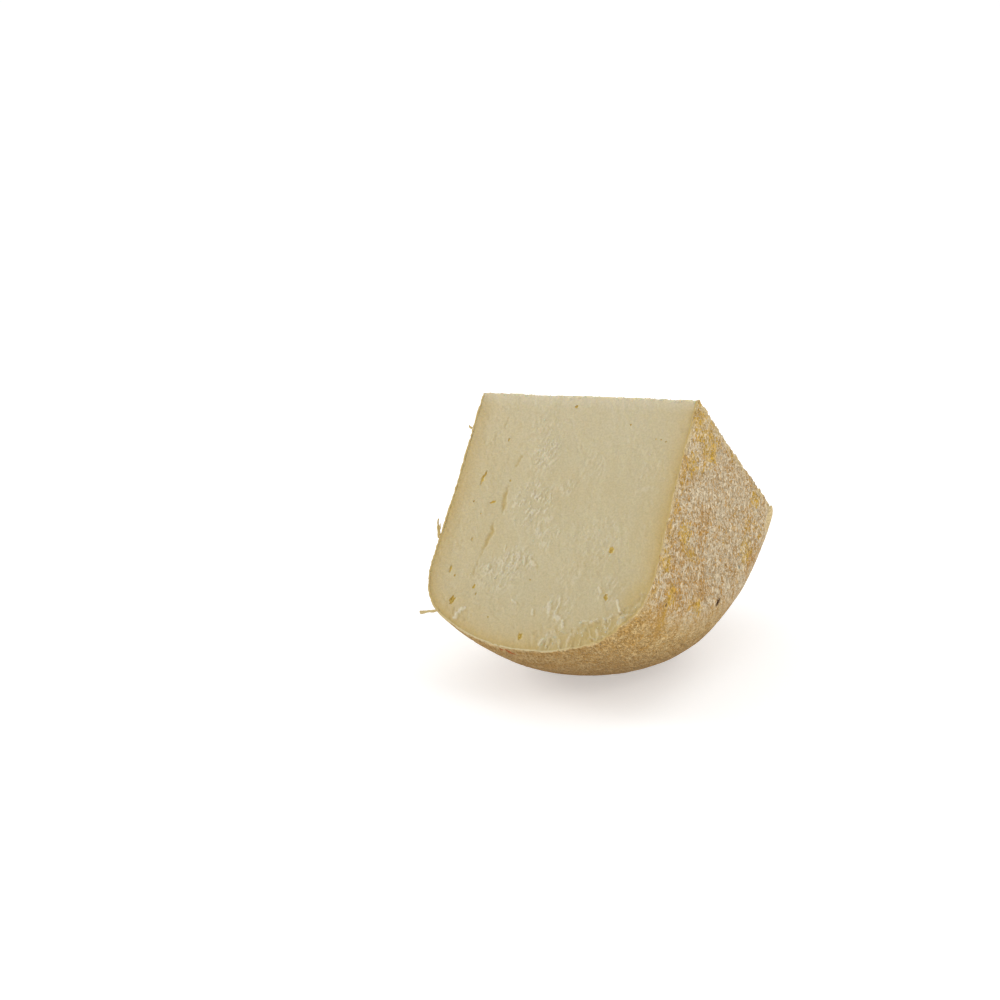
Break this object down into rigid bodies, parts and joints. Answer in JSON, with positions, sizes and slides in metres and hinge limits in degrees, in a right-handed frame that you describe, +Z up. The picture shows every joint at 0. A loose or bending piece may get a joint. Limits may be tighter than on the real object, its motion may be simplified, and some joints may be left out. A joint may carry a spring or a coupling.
{
  "type": "wedge of truffle pecorino",
  "caption": "Wedge of hard sheep's milk cheese, a little under a quarter of a small wheel, standing on its bloomed rind with the cut paste leaning back.",
  "frame": {"origin": "middle of the bounding box at its lowest height, on the table under the wedge", "axes": "+Z up, +Y from the front cut towards the back cut and +X along the wheel's axis towards the face whose end of the crest is the higher one"},
  "size_m": [0.0952, 0.135, 0.1029],
  "materials": {
    "cheese_paste": "smooth, slightly waxy cut paste, pale straw",
    "cheese_rind": "dry bloomed rind, beige over ochre"
  },
  "bodies": {
    "root": {"pecorino_wedge": "cheese_paste"}
  },
  "joints": []
}
